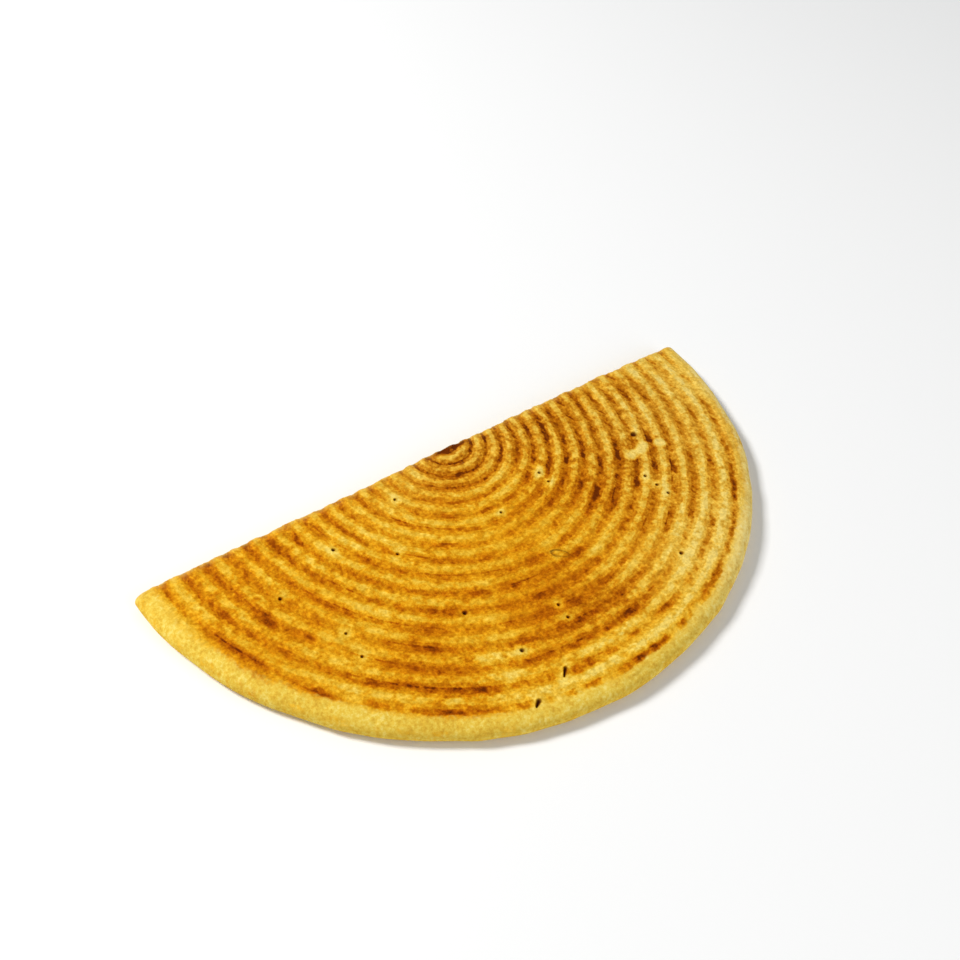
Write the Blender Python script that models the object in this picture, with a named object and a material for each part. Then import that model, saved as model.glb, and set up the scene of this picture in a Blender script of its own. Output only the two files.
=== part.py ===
"""Half of a round semolina flatbread, cut straight across and lying flat.

The bread was baked on a plate with raised rings, so both faces carry round grooves about one
centre. The cut runs along +X at the back, the round rim faces -Y, and the bread rests on the
flat lands between the grooves of its lower face. All sizes are in metres.
"""

import bmesh
import bpy
import numpy as np

# The round bread before it was cut. The knife passed a little to this side of its middle, and
# its rim is a hand-shaped, uneven circle: each wave is a count round the whole circle, a
# height and a start.
RADIUS = 0.1371
MIDDLE_BEYOND_CUT = 0.0033
THICKNESS = 0.0092
RIM_HEIGHT = 0.0039
OUTLINE_WAVES = ((2, 0.0009, 0.0), (3, 0.0005, 1.6), (5, 0.0004, 3.0), (17, 0.0002, 2.0))

# The rings that the baking plate pressed in, numbered from 0 at the first whole groove. They
# widen outwards, and their centre drifts from near the cut to the bread's own middle.
RING_COUNT = 16
FIRST_RING = 0.0110
RING_STEP = 0.00663
RING_WIDENING = 0.0000786
UPPER_CENTRES = ((0.0051, 0.0016), (0.0004, 0.0029))
LOWER_CENTRES = ((0.0034, 0.0019), (0.0001, 0.0030))
UPPER_GROOVE = 0.0007
LOWER_GROOVE = 0.0006

# Between two grooves the middle third of the step is flat, where the wave is below this
LAND_LEVEL = -0.5

# The upper face's gentle unevenness: waves per metre along X and along Y, a height, a start
PUFF_WAVES = ((31, 12, 0.00045, 0.6), (-22, 47, 0.00035, 2.1), (75, 58, 0.00025, 1.6))

# The plain border outside the last ring, rounded over into the rim
UPPER_ROUNDING = 0.0085
LOWER_ROUNDING = 0.0050
ROUNDING_POWER = 2.2
BORDER_SHARES = (0.30, 0.58, 0.80, 0.94)

# The mesh: columns round the rim, halved twice towards the centre
RIM_COLUMNS = 56
HALVINGS = 2
ROWS_PER_RING = 3
INNERMOST_ROWS = (-1.3, -1.15)
CUT_ROWS = 6

# The crumb that the knife left on the cut, torn a little along the crust
CRAG_DEPTH = 0.0009
CRAG_SIZE = 0.0045
CRAG_HEIGHT = 0.0032
CRAG_LAYERS = ((1.0, 0.65), (2.2, 0.35))
CRAG_FULL_THICKNESS = 0.0055
TORN_EDGE = 0.0005
CRAG_SEED = 11
TEAR_SEED = 13
NOISE_CELLS = 64

CRUST_COLOUR = (0.64, 0.29, 0.026, 1.0)
CRUST_ROUGHNESS = 0.75
SHARP_ANGLE = np.radians(50)


def smooth_noise(x, y, seed):
    """Values from -1 to 1 that change over a distance of about one, the same for each seed."""
    table = np.random.default_rng(seed).uniform(-1.0, 1.0, (NOISE_CELLS, NOISE_CELLS))
    column, row = int(np.floor(x)), int(np.floor(y))
    across, up = x - column, y - row
    across = across * across * (3.0 - 2.0 * across)
    up = up * up * (3.0 - 2.0 * up)
    here, right = column % NOISE_CELLS, (column + 1) % NOISE_CELLS
    low, high = row % NOISE_CELLS, (row + 1) % NOISE_CELLS
    near = table[here, low] * (1.0 - across) + table[right, low] * across
    far = table[here, high] * (1.0 - across) + table[right, high] * across
    return near * (1.0 - up) + far * up


def outline_radius(angle):
    """Distance from the middle of the round bread to its rim."""
    waves = [height * np.cos(count * angle + start) for count, height, start in OUTLINE_WAVES]
    return RADIUS + sum(waves)


def edge_distance(x, y):
    """How far a point lies inside the rim."""
    beyond = y - MIDDLE_BEYOND_CUT
    return np.maximum(outline_radius(np.arctan2(beyond, x)) - np.hypot(x, beyond), 0.0)


def ring_radius(number):
    return FIRST_RING + number * (RING_STEP + number * RING_WIDENING)


def ring_centre(centres, number):
    """The centre of a ring, between the centres of the first ring and the last."""
    inner, outer = np.array(centres)
    return inner + (outer - inner) * number / (RING_COUNT - 1)


def arc(middle_height, radius, columns):
    """Angles along the part of a circle below the cut, from its left end to its right."""
    hidden = np.arcsin(middle_height / radius)
    return np.linspace(np.pi + hidden, 2 * np.pi - hidden, columns + 1)


def ring_points(centres, number, columns):
    """Points along a ring, from the cut's left side through the rim's side to its right."""
    centre, radius = ring_centre(centres, number), ring_radius(number)
    angle = arc(centre[1], radius, columns)
    return centre + radius * np.column_stack((np.cos(angle), np.sin(angle)))


def rim_points(columns):
    """Points along the bread's outer edge."""
    angle = arc(MIDDLE_BEYOND_CUT, outline_radius(np.pi), columns)
    round_points = outline_radius(angle)[:, None] * np.column_stack((np.cos(angle), np.sin(angle)))
    return round_points + (0.0, MIDDLE_BEYOND_CUT)


def rounding(distance, width):
    """Share of the full height at a distance inside the rim: 0 at the edge, 1 past the width."""
    share = np.clip(distance / width, 0.0, 1.0)
    return (1.0 - (1.0 - share) ** ROUNDING_POWER) ** (1.0 / ROUNDING_POWER)


def groove(number):
    """How much of the groove's depth a ring number takes: 1 in a groove, 0 on a land."""
    wave = np.cos(2 * np.pi * number)
    within = number < RING_COUNT - 0.5
    return within * np.clip((wave - LAND_LEVEL) / (1.0 - LAND_LEVEL), 0.0, 1.0)


def puff(x, y):
    """The upper face's rise or fall at a point."""
    return sum(height * np.sin(a * x + b * y + start) for a, b, height, start in PUFF_WAVES)


def upper_height(points, number):
    x, y = points[:, 0], points[:, 1]
    crown = THICKNESS - RIM_HEIGHT + puff(x, y) - UPPER_GROOVE * groove(number)
    return RIM_HEIGHT + crown * rounding(edge_distance(x, y), UPPER_ROUNDING)


def lower_height(points, number):
    share = rounding(edge_distance(points[:, 0], points[:, 1]), LOWER_ROUNDING)
    return RIM_HEIGHT * (1.0 - share) + LOWER_GROOVE * groove(number) * share


def row_numbers():
    """The ring numbers of a face's rows, from its centre to the last ring's outer shoulder."""
    steps = np.arange(-ROWS_PER_RING, (RING_COUNT - 1) * ROWS_PER_RING + 2)
    return [*INNERMOST_ROWS, *(steps / ROWS_PER_RING)]


def columns_of(number):
    """Columns in a row: all of them outside, and half as many each time the radius halves."""
    smaller = int(np.log2(RADIUS / ring_radius(number)))
    return RIM_COLUMNS // 2 ** min(smaller, HALVINGS)


class Builder:
    """Collects the bread's points and faces in one bmesh."""

    def __init__(self):
        self.bm = bmesh.new()

    def row(self, points, heights):
        return [self.bm.verts.new((x, y, z)) for (x, y), z in zip(points, heights)]

    def face(self, *corners):
        kept = list(dict.fromkeys(corners))
        if len(kept) > 2:
            self.bm.faces.new(kept)

    def stitch(self, inner, outer):
        """Joins two rows with as many points, or where the outer row has twice the columns."""
        if len(inner) == len(outer):
            for i in range(len(inner) - 1):
                self.face(inner[i], outer[i], outer[i + 1], inner[i + 1])
            return
        for i in range(len(inner) - 1):
            first, middle, last = outer[2 * i : 2 * i + 3]
            self.face(inner[i], first, middle)
            self.face(inner[i], middle, inner[i + 1])
            self.face(inner[i + 1], middle, last)


def add_face(builder, centres, height, rim_row):
    """Builds one face of the bread and returns its edge along the cut, from left to right."""
    hub_point = np.array([[ring_centre(centres, INNERMOST_ROWS[0])[0], 0.0]])
    hub = builder.row(hub_point, height(hub_point, np.array(INNERMOST_ROWS[:1])))[0]
    before = None
    left, right = [hub], []
    for number in row_numbers():
        points = ring_points(centres, number, columns_of(number))
        row = builder.row(points, height(points, np.full(len(points), number)))
        if before is None:
            for i in range(len(row) - 1):
                builder.face(hub, row[i], row[i + 1])
        else:
            builder.stitch(before, row)
        before = row
        left.append(row[0])
        right.append(row[-1])
    shoulder = points
    rim = rim_points(RIM_COLUMNS)
    outside = np.full(len(rim), RING_COUNT)
    for share in BORDER_SHARES:
        points = shoulder + (rim - shoulder) * share
        row = builder.row(points, height(points, outside))
        builder.stitch(before, row)
        before = row
        left.append(row[0])
        right.append(row[-1])
    builder.stitch(before, rim_row)
    return left[::-1] + right


def crag(x, z):
    """How far the crumb stands out of the cut's plane, or behind it."""
    layers = [
        share * smooth_noise(finer * x / CRAG_SIZE, finer * z / CRAG_HEIGHT, CRAG_SEED)
        for finer, share in CRAG_LAYERS
    ]
    return CRAG_DEPTH * sum(layers)


def add_cut(builder, upper, lower, left_end, right_end):
    """Fills the cut between the two faces' edges with rows of rough crumb."""
    for vert in upper + lower:
        vert.co.y += TORN_EDGE * smooth_noise(vert.co.x / CRAG_SIZE, 0.5, TEAR_SEED)
    columns = []
    for top, bottom in zip(upper, lower):
        room = min(1.0, (top.co.z - bottom.co.z) / CRAG_FULL_THICKNESS)
        column = [top]
        for i in range(1, CUT_ROWS):
            place = top.co.lerp(bottom.co, i / CUT_ROWS)
            place.y += room * crag(place.x, place.z)
            column.append(builder.bm.verts.new(place))
        columns.append([*column, bottom])
    for end, column in ((left_end, columns[0]), (right_end, columns[-1])):
        for i in range(CUT_ROWS):
            builder.face(end, column[i], column[i + 1])
    for a, b in zip(columns, columns[1:]):
        for i in range(CUT_ROWS):
            builder.face(a[i], a[i + 1], b[i + 1], b[i])


def bread_mesh():
    builder = Builder()
    rim = rim_points(RIM_COLUMNS)
    rim_row = builder.row(rim, np.full(len(rim), RIM_HEIGHT))
    upper = add_face(builder, UPPER_CENTRES, upper_height, rim_row)
    lower = add_face(builder, LOWER_CENTRES, lower_height, rim_row)
    add_cut(builder, upper, lower, rim_row[0], rim_row[-1])
    bm = builder.bm
    bmesh.ops.recalc_face_normals(bm, faces=bm.faces)
    places = np.array([vert.co for vert in bm.verts])
    middle = (places.min(axis=0) + places.max(axis=0)) / 2
    bmesh.ops.translate(bm, verts=bm.verts, vec=(-middle[0], -middle[1], 0.0))
    mesh = bpy.data.meshes.new("flatbread_half")
    bm.to_mesh(mesh)
    bm.free()
    mesh.shade_smooth()
    mesh.set_sharp_from_angle(angle=SHARP_ANGLE)
    return mesh


def crust_material():
    material = bpy.data.materials.new("toasted_crust")
    material.use_nodes = True
    shader = material.node_tree.nodes["Principled BSDF"]
    shader.inputs["Base Color"].default_value = CRUST_COLOUR
    shader.inputs["Roughness"].default_value = CRUST_ROUGHNESS
    return material


def main():
    for obj in list(bpy.data.objects):
        bpy.data.objects.remove(obj)
    bread = bpy.data.objects.new("flatbread_half", bread_mesh())
    bread.data.materials.append(crust_material())
    bpy.context.scene.collection.objects.link(bread)


main()
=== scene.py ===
"""The looks of half a round semolina flatbread, with a plain floor, soft light and a camera.

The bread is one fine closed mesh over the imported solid: grooves pressed in rings on both faces,
toasted in dashes, a pale rounded rim, and torn crumb along the cut. Sizes are in metres. Places
on the bread are given from the point of the cut that lies nearest the whole bread's middle: +X
runs along the cut, the bread lies towards -Y, and +Z is up from the floor.
"""

import bmesh
import bpy
import numpy as np
from mathutils import Matrix, Vector


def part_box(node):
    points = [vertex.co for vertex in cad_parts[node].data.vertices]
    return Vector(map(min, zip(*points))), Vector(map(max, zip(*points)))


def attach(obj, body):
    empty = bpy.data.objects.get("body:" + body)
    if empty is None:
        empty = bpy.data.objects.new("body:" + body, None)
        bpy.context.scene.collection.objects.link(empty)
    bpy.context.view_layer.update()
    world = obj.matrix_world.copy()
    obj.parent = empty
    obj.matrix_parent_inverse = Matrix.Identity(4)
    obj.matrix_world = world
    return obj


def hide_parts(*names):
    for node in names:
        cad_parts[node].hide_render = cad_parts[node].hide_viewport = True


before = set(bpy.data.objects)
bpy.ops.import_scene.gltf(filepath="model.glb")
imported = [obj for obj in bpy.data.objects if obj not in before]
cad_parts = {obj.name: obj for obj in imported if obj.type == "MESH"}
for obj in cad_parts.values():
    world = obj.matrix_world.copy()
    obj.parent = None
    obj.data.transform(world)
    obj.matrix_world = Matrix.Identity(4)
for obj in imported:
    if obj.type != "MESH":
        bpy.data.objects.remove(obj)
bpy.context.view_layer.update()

# The bread's form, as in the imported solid
RADIUS = 0.1371
MIDDLE_BEYOND_CUT = 0.0033
THICKNESS = 0.0092
RIM_HEIGHT = 0.0039
OUTLINE_WAVES = ((2, 0.0009, 0.0), (3, 0.0005, 1.6), (5, 0.0004, 3.0), (17, 0.0002, 2.0))
RING_COUNT = 16
FIRST_RING = 0.0110
RING_STEP = 0.00663
RING_WIDENING = 0.0000786
UPPER_CENTRES = ((0.0051, 0.0016), (0.0004, 0.0029))
LOWER_CENTRES = ((0.0034, 0.0019), (0.0001, 0.0030))
LAND_LEVEL = -0.5
PUFF_WAVES = ((31, 12, 0.00045, 0.6), (-22, 47, 0.00035, 2.1), (75, 58, 0.00025, 1.6))
UPPER_ROUNDING = 0.0085
LOWER_ROUNDING = 0.0050
ROUNDING_POWER = 2.2
CRAG_DEPTH = 0.0009
CRAG_SIZE = 0.0045
CRAG_HEIGHT = 0.0032
CRAG_FULL_THICKNESS = 0.0055

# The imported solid's groove depths. Here each place has a share of them, which grows with how
# strongly its rings show, so these grooves are shallower than the solid's.
UPPER_GROOVE = 0.0007
LOWER_GROOVE = 0.0006
SMALLEST_GROOVE_SHARE = 0.12
GROOVE_SHARE_BY_STRENGTH = 0.60
LARGEST_GROOVE_SHARE = 0.90

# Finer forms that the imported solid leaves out: notches in the rim, bumps on both faces, and
# bumps and creases on the border, which fade inwards from the rim
RIM_NOTCHES = 0.00030
NOTCH_SIZE = 0.0085
BROAD_BUMPS = 0.00014
BROAD_BUMP_SIZE = 0.0075
FINE_BUMPS = 0.00007
FINE_BUMP_SIZE = 0.0017
BORDER_BUMPS = 0.00032
BORDER_BUMP_SIZE = 0.0028
CREASE_DEPTH = 0.00034
CREASE_SPACING = 0.0085
CREASE_WIDTH = 0.10
BORDER_REACH = 1.4
BORDER_FADE = 0.008
LOWER_BUMPS = 0.00008
LOWER_BUMP_SIZE = 0.0030

# The crust's torn edge along the cut, and how far from the cut it reaches
TEAR = 0.00075
TEAR_SIZE = 0.0062
FINE_TEAR = 0.00024
FINE_TEAR_SIZE = 0.0013
TORN_WIDTH = 0.0018

# The cut's roughness: how much finer each layer is, its share and its seed
CRAG_LAYERS = ((1.0, 0.45, 11), (2.2, 0.35, 12), (5.1, 0.30, 13))

# Noise: the size of its table, and how much finer and weaker each layer is than the one before
NOISE_CELLS = 256
LAYER_FINENESS = 2.03
LAYER_SHARE = 0.55

# A fixed seed for each noise, so that every run gives the same bread. A face has three: for its
# broad toasting, its small toasting and how strongly its rings show.
UPPER_SEEDS = (100, 110, 120)
LOWER_SEEDS = (200, 210, 220)
BROAD_BUMP_SEED = 31
FINE_BUMP_SEED = 41
BORDER_BUMP_SEED = 45
CREASE_SEED = 51
LOWER_BUMP_SEED = 61
NOTCH_SEED = 71
TEAR_SEED = 81
FINE_TEAR_SEED = 91
OUTLINE_SEED = 95
BLISTER_SEED = 96
BARE_SEED = 130
BURNT_SEED = 140
BAND_SEED = 300

# The fine mesh. The rim has a ring number of its own, just past the last groove.
RIM_NUMBER = RING_COUNT + 0.1
INNERMOST_RING = -1.3
LAST_SHOULDER = 15.4
UPPER_ROWS_PER_RING = 10
LOWER_ROWS_PER_RING = 5
UPPER_COLUMNS = 512
LOWER_COLUMNS = 256
HALVINGS = 4
UPPER_BORDER_ROWS = 14
LOWER_BORDER_ROWS = 8
CUT_ROWS = 15
SHARP_ANGLE = np.radians(60)

# Faces near a hole are cut finer: how many cuts, out to how many of its half widths and how much
# further, and how far round the blister
REFINED_CUTS = 2
REFINED_HALF_WIDTHS = 2.2
REFINED_MARGIN = 0.0006
REFINED_BLISTER = 1.5

# How much crumb shows through the crust at the cut, how far from it, and how much less of it
# where the crust is burnt
TORN_CRUMB = 0.80
FRAYED_WIDTH = 0.0008
BURNT_HOLDS = 2.0

# The values at each point that the material reads
FIELDS = ("ring", "along", "toast", "contrast", "dust_and_sheen", "pale", "crumb", "depth")


def value_noise(x, y, seed):
    """Values from -1 to 1 that change over a distance of about one, the same for each seed."""
    table = np.random.default_rng(seed).uniform(-1.0, 1.0, (NOISE_CELLS, NOISE_CELLS))
    column, row = np.floor(x).astype(int), np.floor(y).astype(int)
    across, up = x - column, y - row
    across = across * across * (3.0 - 2.0 * across)
    up = up * up * (3.0 - 2.0 * up)
    here, right = column % NOISE_CELLS, (column + 1) % NOISE_CELLS
    low, high = row % NOISE_CELLS, (row + 1) % NOISE_CELLS
    near = table[here, low] * (1.0 - across) + table[right, low] * across
    far = table[here, high] * (1.0 - across) + table[right, high] * across
    return near * (1.0 - up) + far * up


def noise(x, y, size, seed, layers=3):
    """Layered noise with its largest features about as wide as the size."""
    total, weight = 0.0, 0.0
    for layer in range(layers):
        finer, share = LAYER_FINENESS ** layer, LAYER_SHARE ** layer
        total = total + share * value_noise(x * finer / size, y * finer / size, seed + layer)
        weight += share
    return total / weight


def outline_radius(angle):
    """Distance from the middle of the round bread to its rim."""
    waves = sum(height * np.cos(count * angle + start) for count, height, start in OUTLINE_WAVES)
    along = np.mod(angle, 2 * np.pi) * RADIUS / NOTCH_SIZE
    return RADIUS + waves + RIM_NOTCHES * value_noise(along, 0.0 * along, NOTCH_SEED)


def edge_distance(x, y):
    """How far a point lies inside the rim."""
    beyond = y - MIDDLE_BEYOND_CUT
    return np.maximum(outline_radius(np.arctan2(beyond, x)) - np.hypot(x, beyond), 0.0)


def ring_radius(number):
    return FIRST_RING + number * (RING_STEP + number * RING_WIDENING)


def ring_centre(centres, number):
    """The centre of a ring, between the centres of the first ring and the last."""
    inner, outer = np.array(centres)
    return inner + (outer - inner) * number / (RING_COUNT - 1)


def arc(middle_height, radius, columns):
    """Angles along the part of a circle below the cut, from its left end to its right."""
    hidden = np.arcsin(middle_height / radius)
    return np.linspace(np.pi + hidden, 2 * np.pi - hidden, columns + 1)


def ring_points(centres, number, columns):
    """Points along a ring, from the cut's left side to its right, and how far along they are."""
    centre, radius = ring_centre(centres, number), ring_radius(number)
    angle = arc(centre[1], radius, columns)
    points = centre + radius * np.column_stack((np.cos(angle), np.sin(angle)))
    return points, (angle - 1.5 * np.pi) * radius


def rim_points(columns):
    """Points along the bread's outer edge."""
    angle = arc(MIDDLE_BEYOND_CUT, outline_radius(np.pi), columns)
    round_points = outline_radius(angle)[:, None] * np.column_stack((np.cos(angle), np.sin(angle)))
    return round_points + (0.0, MIDDLE_BEYOND_CUT), (angle - 1.5 * np.pi) * RADIUS


def rounding(distance, width):
    """Share of the full height at a distance inside the rim: 0 at the edge, 1 past the width."""
    share = np.clip(distance / width, 0.0, 1.0)
    return (1.0 - (1.0 - share) ** ROUNDING_POWER) ** (1.0 / ROUNDING_POWER)


def groove(number):
    """How much of the groove's depth a ring number takes: 1 in a groove, 0 on a land."""
    wave = np.cos(2 * np.pi * number)
    within = number < RING_COUNT - 0.5
    return within * np.clip((wave - LAND_LEVEL) / (1.0 - LAND_LEVEL), 0.0, 1.0)


def puff(x, y):
    """The upper face's rise or fall at a point."""
    return sum(height * np.sin(a * x + b * y + start) for a, b, height, start in PUFF_WAVES)


def patches(x, y, places):
    """The sum of soft oval patches, each a place, its half widths and a strength."""
    return sum(strength * np.exp(-((x - px) / wide) ** 2 - ((y - py) / high) ** 2)
               for px, py, wide, high, strength in places)


# Where the plate browned the upper face more than usual, with one patch on the left that is partly
# painted shadow: place, half widths, strength
TOASTED_AND_SHADOWED = (
    (0.045, -0.047, 0.022, 0.013, 0.17), (-0.066, -0.084, 0.022, 0.014, 0.14),
    (-0.005, -0.101, 0.036, 0.009, 0.13), (-0.012, -0.084, 0.026, 0.012, 0.17),
    (0.042, -0.058, 0.007, 0.007, 0.16), (-0.121, -0.040, 0.006, 0.024, 0.24),
    (0.098, -0.012, 0.006, 0.011, 0.17), (0.030, -0.026, 0.008, 0.010, 0.13),
    (-0.002, -0.018, 0.009, 0.010, 0.14), (0.025, -0.048, 0.008, 0.010, 0.09),
    (0.003, -0.068, 0.010, 0.007, 0.12), (0.000, -0.085, 0.006, 0.006, 0.10),
    (0.050, -0.079, 0.008, 0.006, 0.12), (0.008, -0.109, 0.010, 0.004, 0.12),
    (-0.020, -0.120, 0.009, 0.004, 0.14), (-0.060, -0.111, 0.012, 0.006, 0.14),
    (-0.108, -0.070, 0.007, 0.010, 0.16), (0.086, -0.091, 0.006, 0.005, 0.08),
    (0.030, -0.004, 0.006, 0.004, 0.12), (0.092, -0.008, 0.006, 0.008, 0.09),
    (0.002, -0.093, 0.020, 0.010, 0.09), (0.020, -0.109, 0.010, 0.005, 0.10),
    (0.080, -0.038, 0.006, 0.003, 0.16), (0.072, -0.061, 0.020, 0.007, 0.03),
    # The first patch on the next line is browning and partly painted shadow
    (-0.103, -0.050, 0.012, 0.012, 0.08), (-0.118, -0.058, 0.005, 0.012, 0.10),
    (-0.062, -0.104, 0.020, 0.006, 0.15), (0.004, -0.124, 0.016, 0.003, 0.20),
    (0.052, -0.018, 0.034, 0.014, 0.08), (-0.040, -0.070, 0.024, 0.006, 0.14),
    (0.098, -0.080, 0.010, 0.010, 0.10), (0.0745, -0.0440, 0.0085, 0.0052, 0.16),
    (0.0832, -0.0445, 0.0060, 0.0045, 0.16), (0.0650, -0.0440, 0.0030, 0.0050, 0.12),
    (-0.014, -0.117, 0.012, 0.002, 0.12),
)

# Where the plate left the upper face paler than usual
LEFT_PALE = (
    (0.044, -0.098, 0.018, 0.010, 0.14), (0.102, -0.052, 0.012, 0.016, 0.08),
    (0.118, -0.014, 0.014, 0.026, 0.16), (0.106, -0.003, 0.014, 0.006, 0.20),
    (0.080, -0.092, 0.026, 0.012, 0.16), (0.093, -0.026, 0.005, 0.010, 0.16),
    (-0.044, -0.100, 0.006, 0.014, 0.20), (-0.054, -0.084, 0.008, 0.005, 0.18),
    (-0.064, -0.102, 0.006, 0.003, 0.26), (0.029, -0.030, 0.004, 0.006, 0.18),
    (0.006, -0.111, 0.026, 0.0025, 0.12), (0.010, -0.066, 0.008, 0.004, 0.22),
    (-0.090, -0.062, 0.020, 0.016, 0.08), (-0.034, -0.122, 0.018, 0.004, 0.14),
    (0.084, -0.013, 0.008, 0.009, 0.10), (0.066, -0.020, 0.010, 0.008, 0.09),
    (0.086, -0.031, 0.010, 0.008, 0.11), (0.001, -0.034, 0.010, 0.010, 0.08),
    (0.074, -0.056, 0.012, 0.007, 0.12), (0.028, -0.087, 0.014, 0.006, 0.10),
    (0.032, -0.108, 0.011, 0.005, 0.16), (0.055, -0.105, 0.016, 0.006, 0.10),
    (0.072, -0.109, 0.014, 0.006, 0.12), (-0.040, -0.096, 0.011, 0.013, 0.14),
    (-0.034, -0.078, 0.014, 0.009, 0.14), (-0.090, -0.074, 0.007, 0.012, 0.13),
    (0.016, -0.121, 0.040, 0.008, 0.16), (0.025, -0.014, 0.008, 0.006, 0.09),
    (0.110, -0.061, 0.008, 0.007, 0.10), (0.098, -0.034, 0.007, 0.008, 0.06),
    (0.066, -0.078, 0.010, 0.006, 0.06), (0.000, -0.099, 0.006, 0.003, 0.14),
)

# Where the plate hardly touched the crust, which is pale and has no rings
BARE = (
    (0.0710, -0.0447, 0.0040, 0.0037, 0.64), (0.0783, -0.0435, 0.0042, 0.0036, 0.66),
    (0.0870, -0.0457, 0.0032, 0.0034, 0.64), (0.0226, -0.0764, 0.0082, 0.0040, 0.40),
    (0.0092, -0.0680, 0.0060, 0.0036, 0.33),
)

# Single dashes along the outer rings: place, half the length, strength
DASHES = (
    (-0.0187, -0.1232, 0.0035, 0.34), (-0.0191, -0.1168, 0.0020, 0.20),
    (0.0049, -0.1251, 0.0035, 0.36), (0.0144, -0.1243, 0.0045, 0.32),
    (0.0090, -0.1154, 0.0035, 0.30), (-0.0032, -0.1166, 0.0030, 0.28),
    (0.0286, -0.1214, 0.0025, 0.30), (0.0259, -0.1129, 0.0035, 0.28),
    (0.0376, -0.1176, 0.0040, 0.26), (0.0700, -0.1045, 0.0050, 0.22),
    (0.0910, -0.0880, 0.0150, 0.26), (0.0597, -0.1099, 0.0060, 0.26),
    (0.0479, -0.1152, 0.0030, 0.24), (0.0760, -0.1005, 0.0070, 0.22),
    (0.1105, -0.0665, 0.0090, 0.16),
    (-0.1179, -0.0438, 0.0130, 0.28), (-0.1036, -0.0740, 0.0075, 0.28),
    (-0.1035, -0.0380, 0.0030, 0.26), (-0.0890, -0.0775, 0.0060, 0.26),
    (-0.0945, -0.0495, 0.0045, 0.22), (-0.0760, -0.0865, 0.0055, 0.24),
    (-0.0630, -0.1010, 0.0055, 0.22), (-0.0870, -0.0600, 0.0040, 0.18),
)
DASH_HALF_WIDTH = 0.0011

# Where the crust is scorched, at the rings' centre and just below it
BURNT = ((0.0050, -0.0012, 0.0080, 0.0014, 0.80), (0.0040, -0.0095, 0.0060, 0.0020, 0.12))

# How strongly the rings show above or below the usual
RING_STRENGTH = (
    (0.072, -0.024, 0.046, 0.036, 0.32), (0.010, -0.008, 0.024, 0.022, 0.52),
    (0.088, -0.078, 0.036, 0.026, 0.22), (0.118, -0.040, 0.012, 0.030, 0.12),
    (0.004, -0.048, 0.034, 0.018, -0.26), (-0.020, -0.082, 0.060, 0.014, -0.10),
    (-0.106, -0.052, 0.020, 0.036, -0.10), (0.080, -0.084, 0.036, 0.022, 0.16),
    (0.114, -0.014, 0.012, 0.030, -0.10), (-0.004, -0.116, 0.070, 0.012, 0.10),
)

# Where the crust is paler, duller and bluer, not golden: partly dust, partly painted sheen and
# light on the right side
DUST_AND_SHEEN = (
    (0.010, -0.004, 0.045, 0.018, 0.90), (0.085, -0.036, 0.045, 0.050, 0.95),
    (0.060, -0.100, 0.055, 0.022, 0.50), (0.128, -0.040, 0.026, 0.062, 0.80),
    (0.084, -0.104, 0.034, 0.024, 0.45),
)

# How toasted a face is: the usual level, how far broad and small patches move it, and how much
# less it is towards the rim
USUAL_TOAST = 0.48
BROAD_TOAST = 0.09
BROAD_TOAST_SIZE = 0.030
SMALL_TOAST = 0.15
SMALL_TOAST_SIZE = 0.008
RIM_TOAST_LOSS = 0.20
RIM_TOAST_REACH = 1.25
RIM_TOAST_FADE = 0.016

# How strongly the rings show: the usual level, how far patches move it, and its least and most
USUAL_STRENGTH = 0.50
STRENGTH_SPREAD = 0.20
STRENGTH_SIZE = 0.020
STRENGTH_LIMITS = (0.05, 1.2)

# Where the rings stop, in ring numbers before RING_COUNT, and over how many they fade
LAST_RING_END = 0.42
LAST_RING_FADE = 0.5

# How uneven the bare and the scorched places are, and how sharply the bare ones end
BARE_UNEVENNESS = 0.4
BARE_SIZE = 0.0028
BARE_SHARPNESS = 4.0
BURNT_UNEVENNESS = 0.9
BURNT_SIZE = 0.0018

# The pale band along the rim: its width at the middle, how much it narrows to the right and
# widens to the left, how much it narrows to both sides, its unevenness, and how far it fades over
BAND_WIDTH = 0.0060
BAND_LEAN = 0.0011
BAND_END_LOSS = 0.0012
BAND_UNEVENNESS = 0.0018
BAND_SIZE = 0.010
BAND_FADE = 0.0052

# Holes in the upper face: place and half width
PITS = (
    (0.0801, -0.0358, 0.00100), (0.0674, -0.0573, 0.00052), (0.0686, -0.0636, 0.00052),
    (0.0692, -0.0698, 0.00052), (0.0293, -0.0323, 0.00052), (0.0297, -0.0381, 0.00045),
    (0.0514, -0.0968, 0.00060), (0.0026, -0.0407, 0.00045), (-0.0393, -0.0727, 0.00068),
    (-0.0067, -0.0892, 0.00045), (-0.0074, -0.0958, 0.00045), (-0.0313, -0.0978, 0.00068),
    (-0.0820, -0.0565, 0.00043), (-0.0826, -0.0682, 0.00043), (-0.0650, -0.0210, 0.00060),
    (-0.0450, -0.0360, 0.00045), (-0.0940, -0.0300, 0.00052), (-0.0300, -0.0120, 0.00045),
)

# Slits in the upper face: both ends and half width
SLITS = (
    ((-0.0226, -0.1128), (-0.0253, -0.1154), 0.00050),
    ((-0.0396, -0.1183), (-0.0418, -0.1197), 0.00066),
)

# A slit tapers: the share of its half width at its first end, and how much of it is lost
SLIT_START_SHARE = 1.10
SLIT_TAPER = 0.60

# The holes' depth, then what lies round each: a dark brown that is partly browned crust and partly
# painted shade of the hole, a low collar and a pale halo. The dark brown's reach, the collar's
# place and width and the halo's start are in the hole's half widths.
HOLE_DEPTH = 0.0009
BROWN_AND_SHADE_REACH = 1.45
COLLAR_PLACE = 1.7
COLLAR_WIDTH = 0.6
COLLAR_HEIGHT = 0.00012
HALO_START = 2.0
HALO_WIDTH = 0.0024

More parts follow.
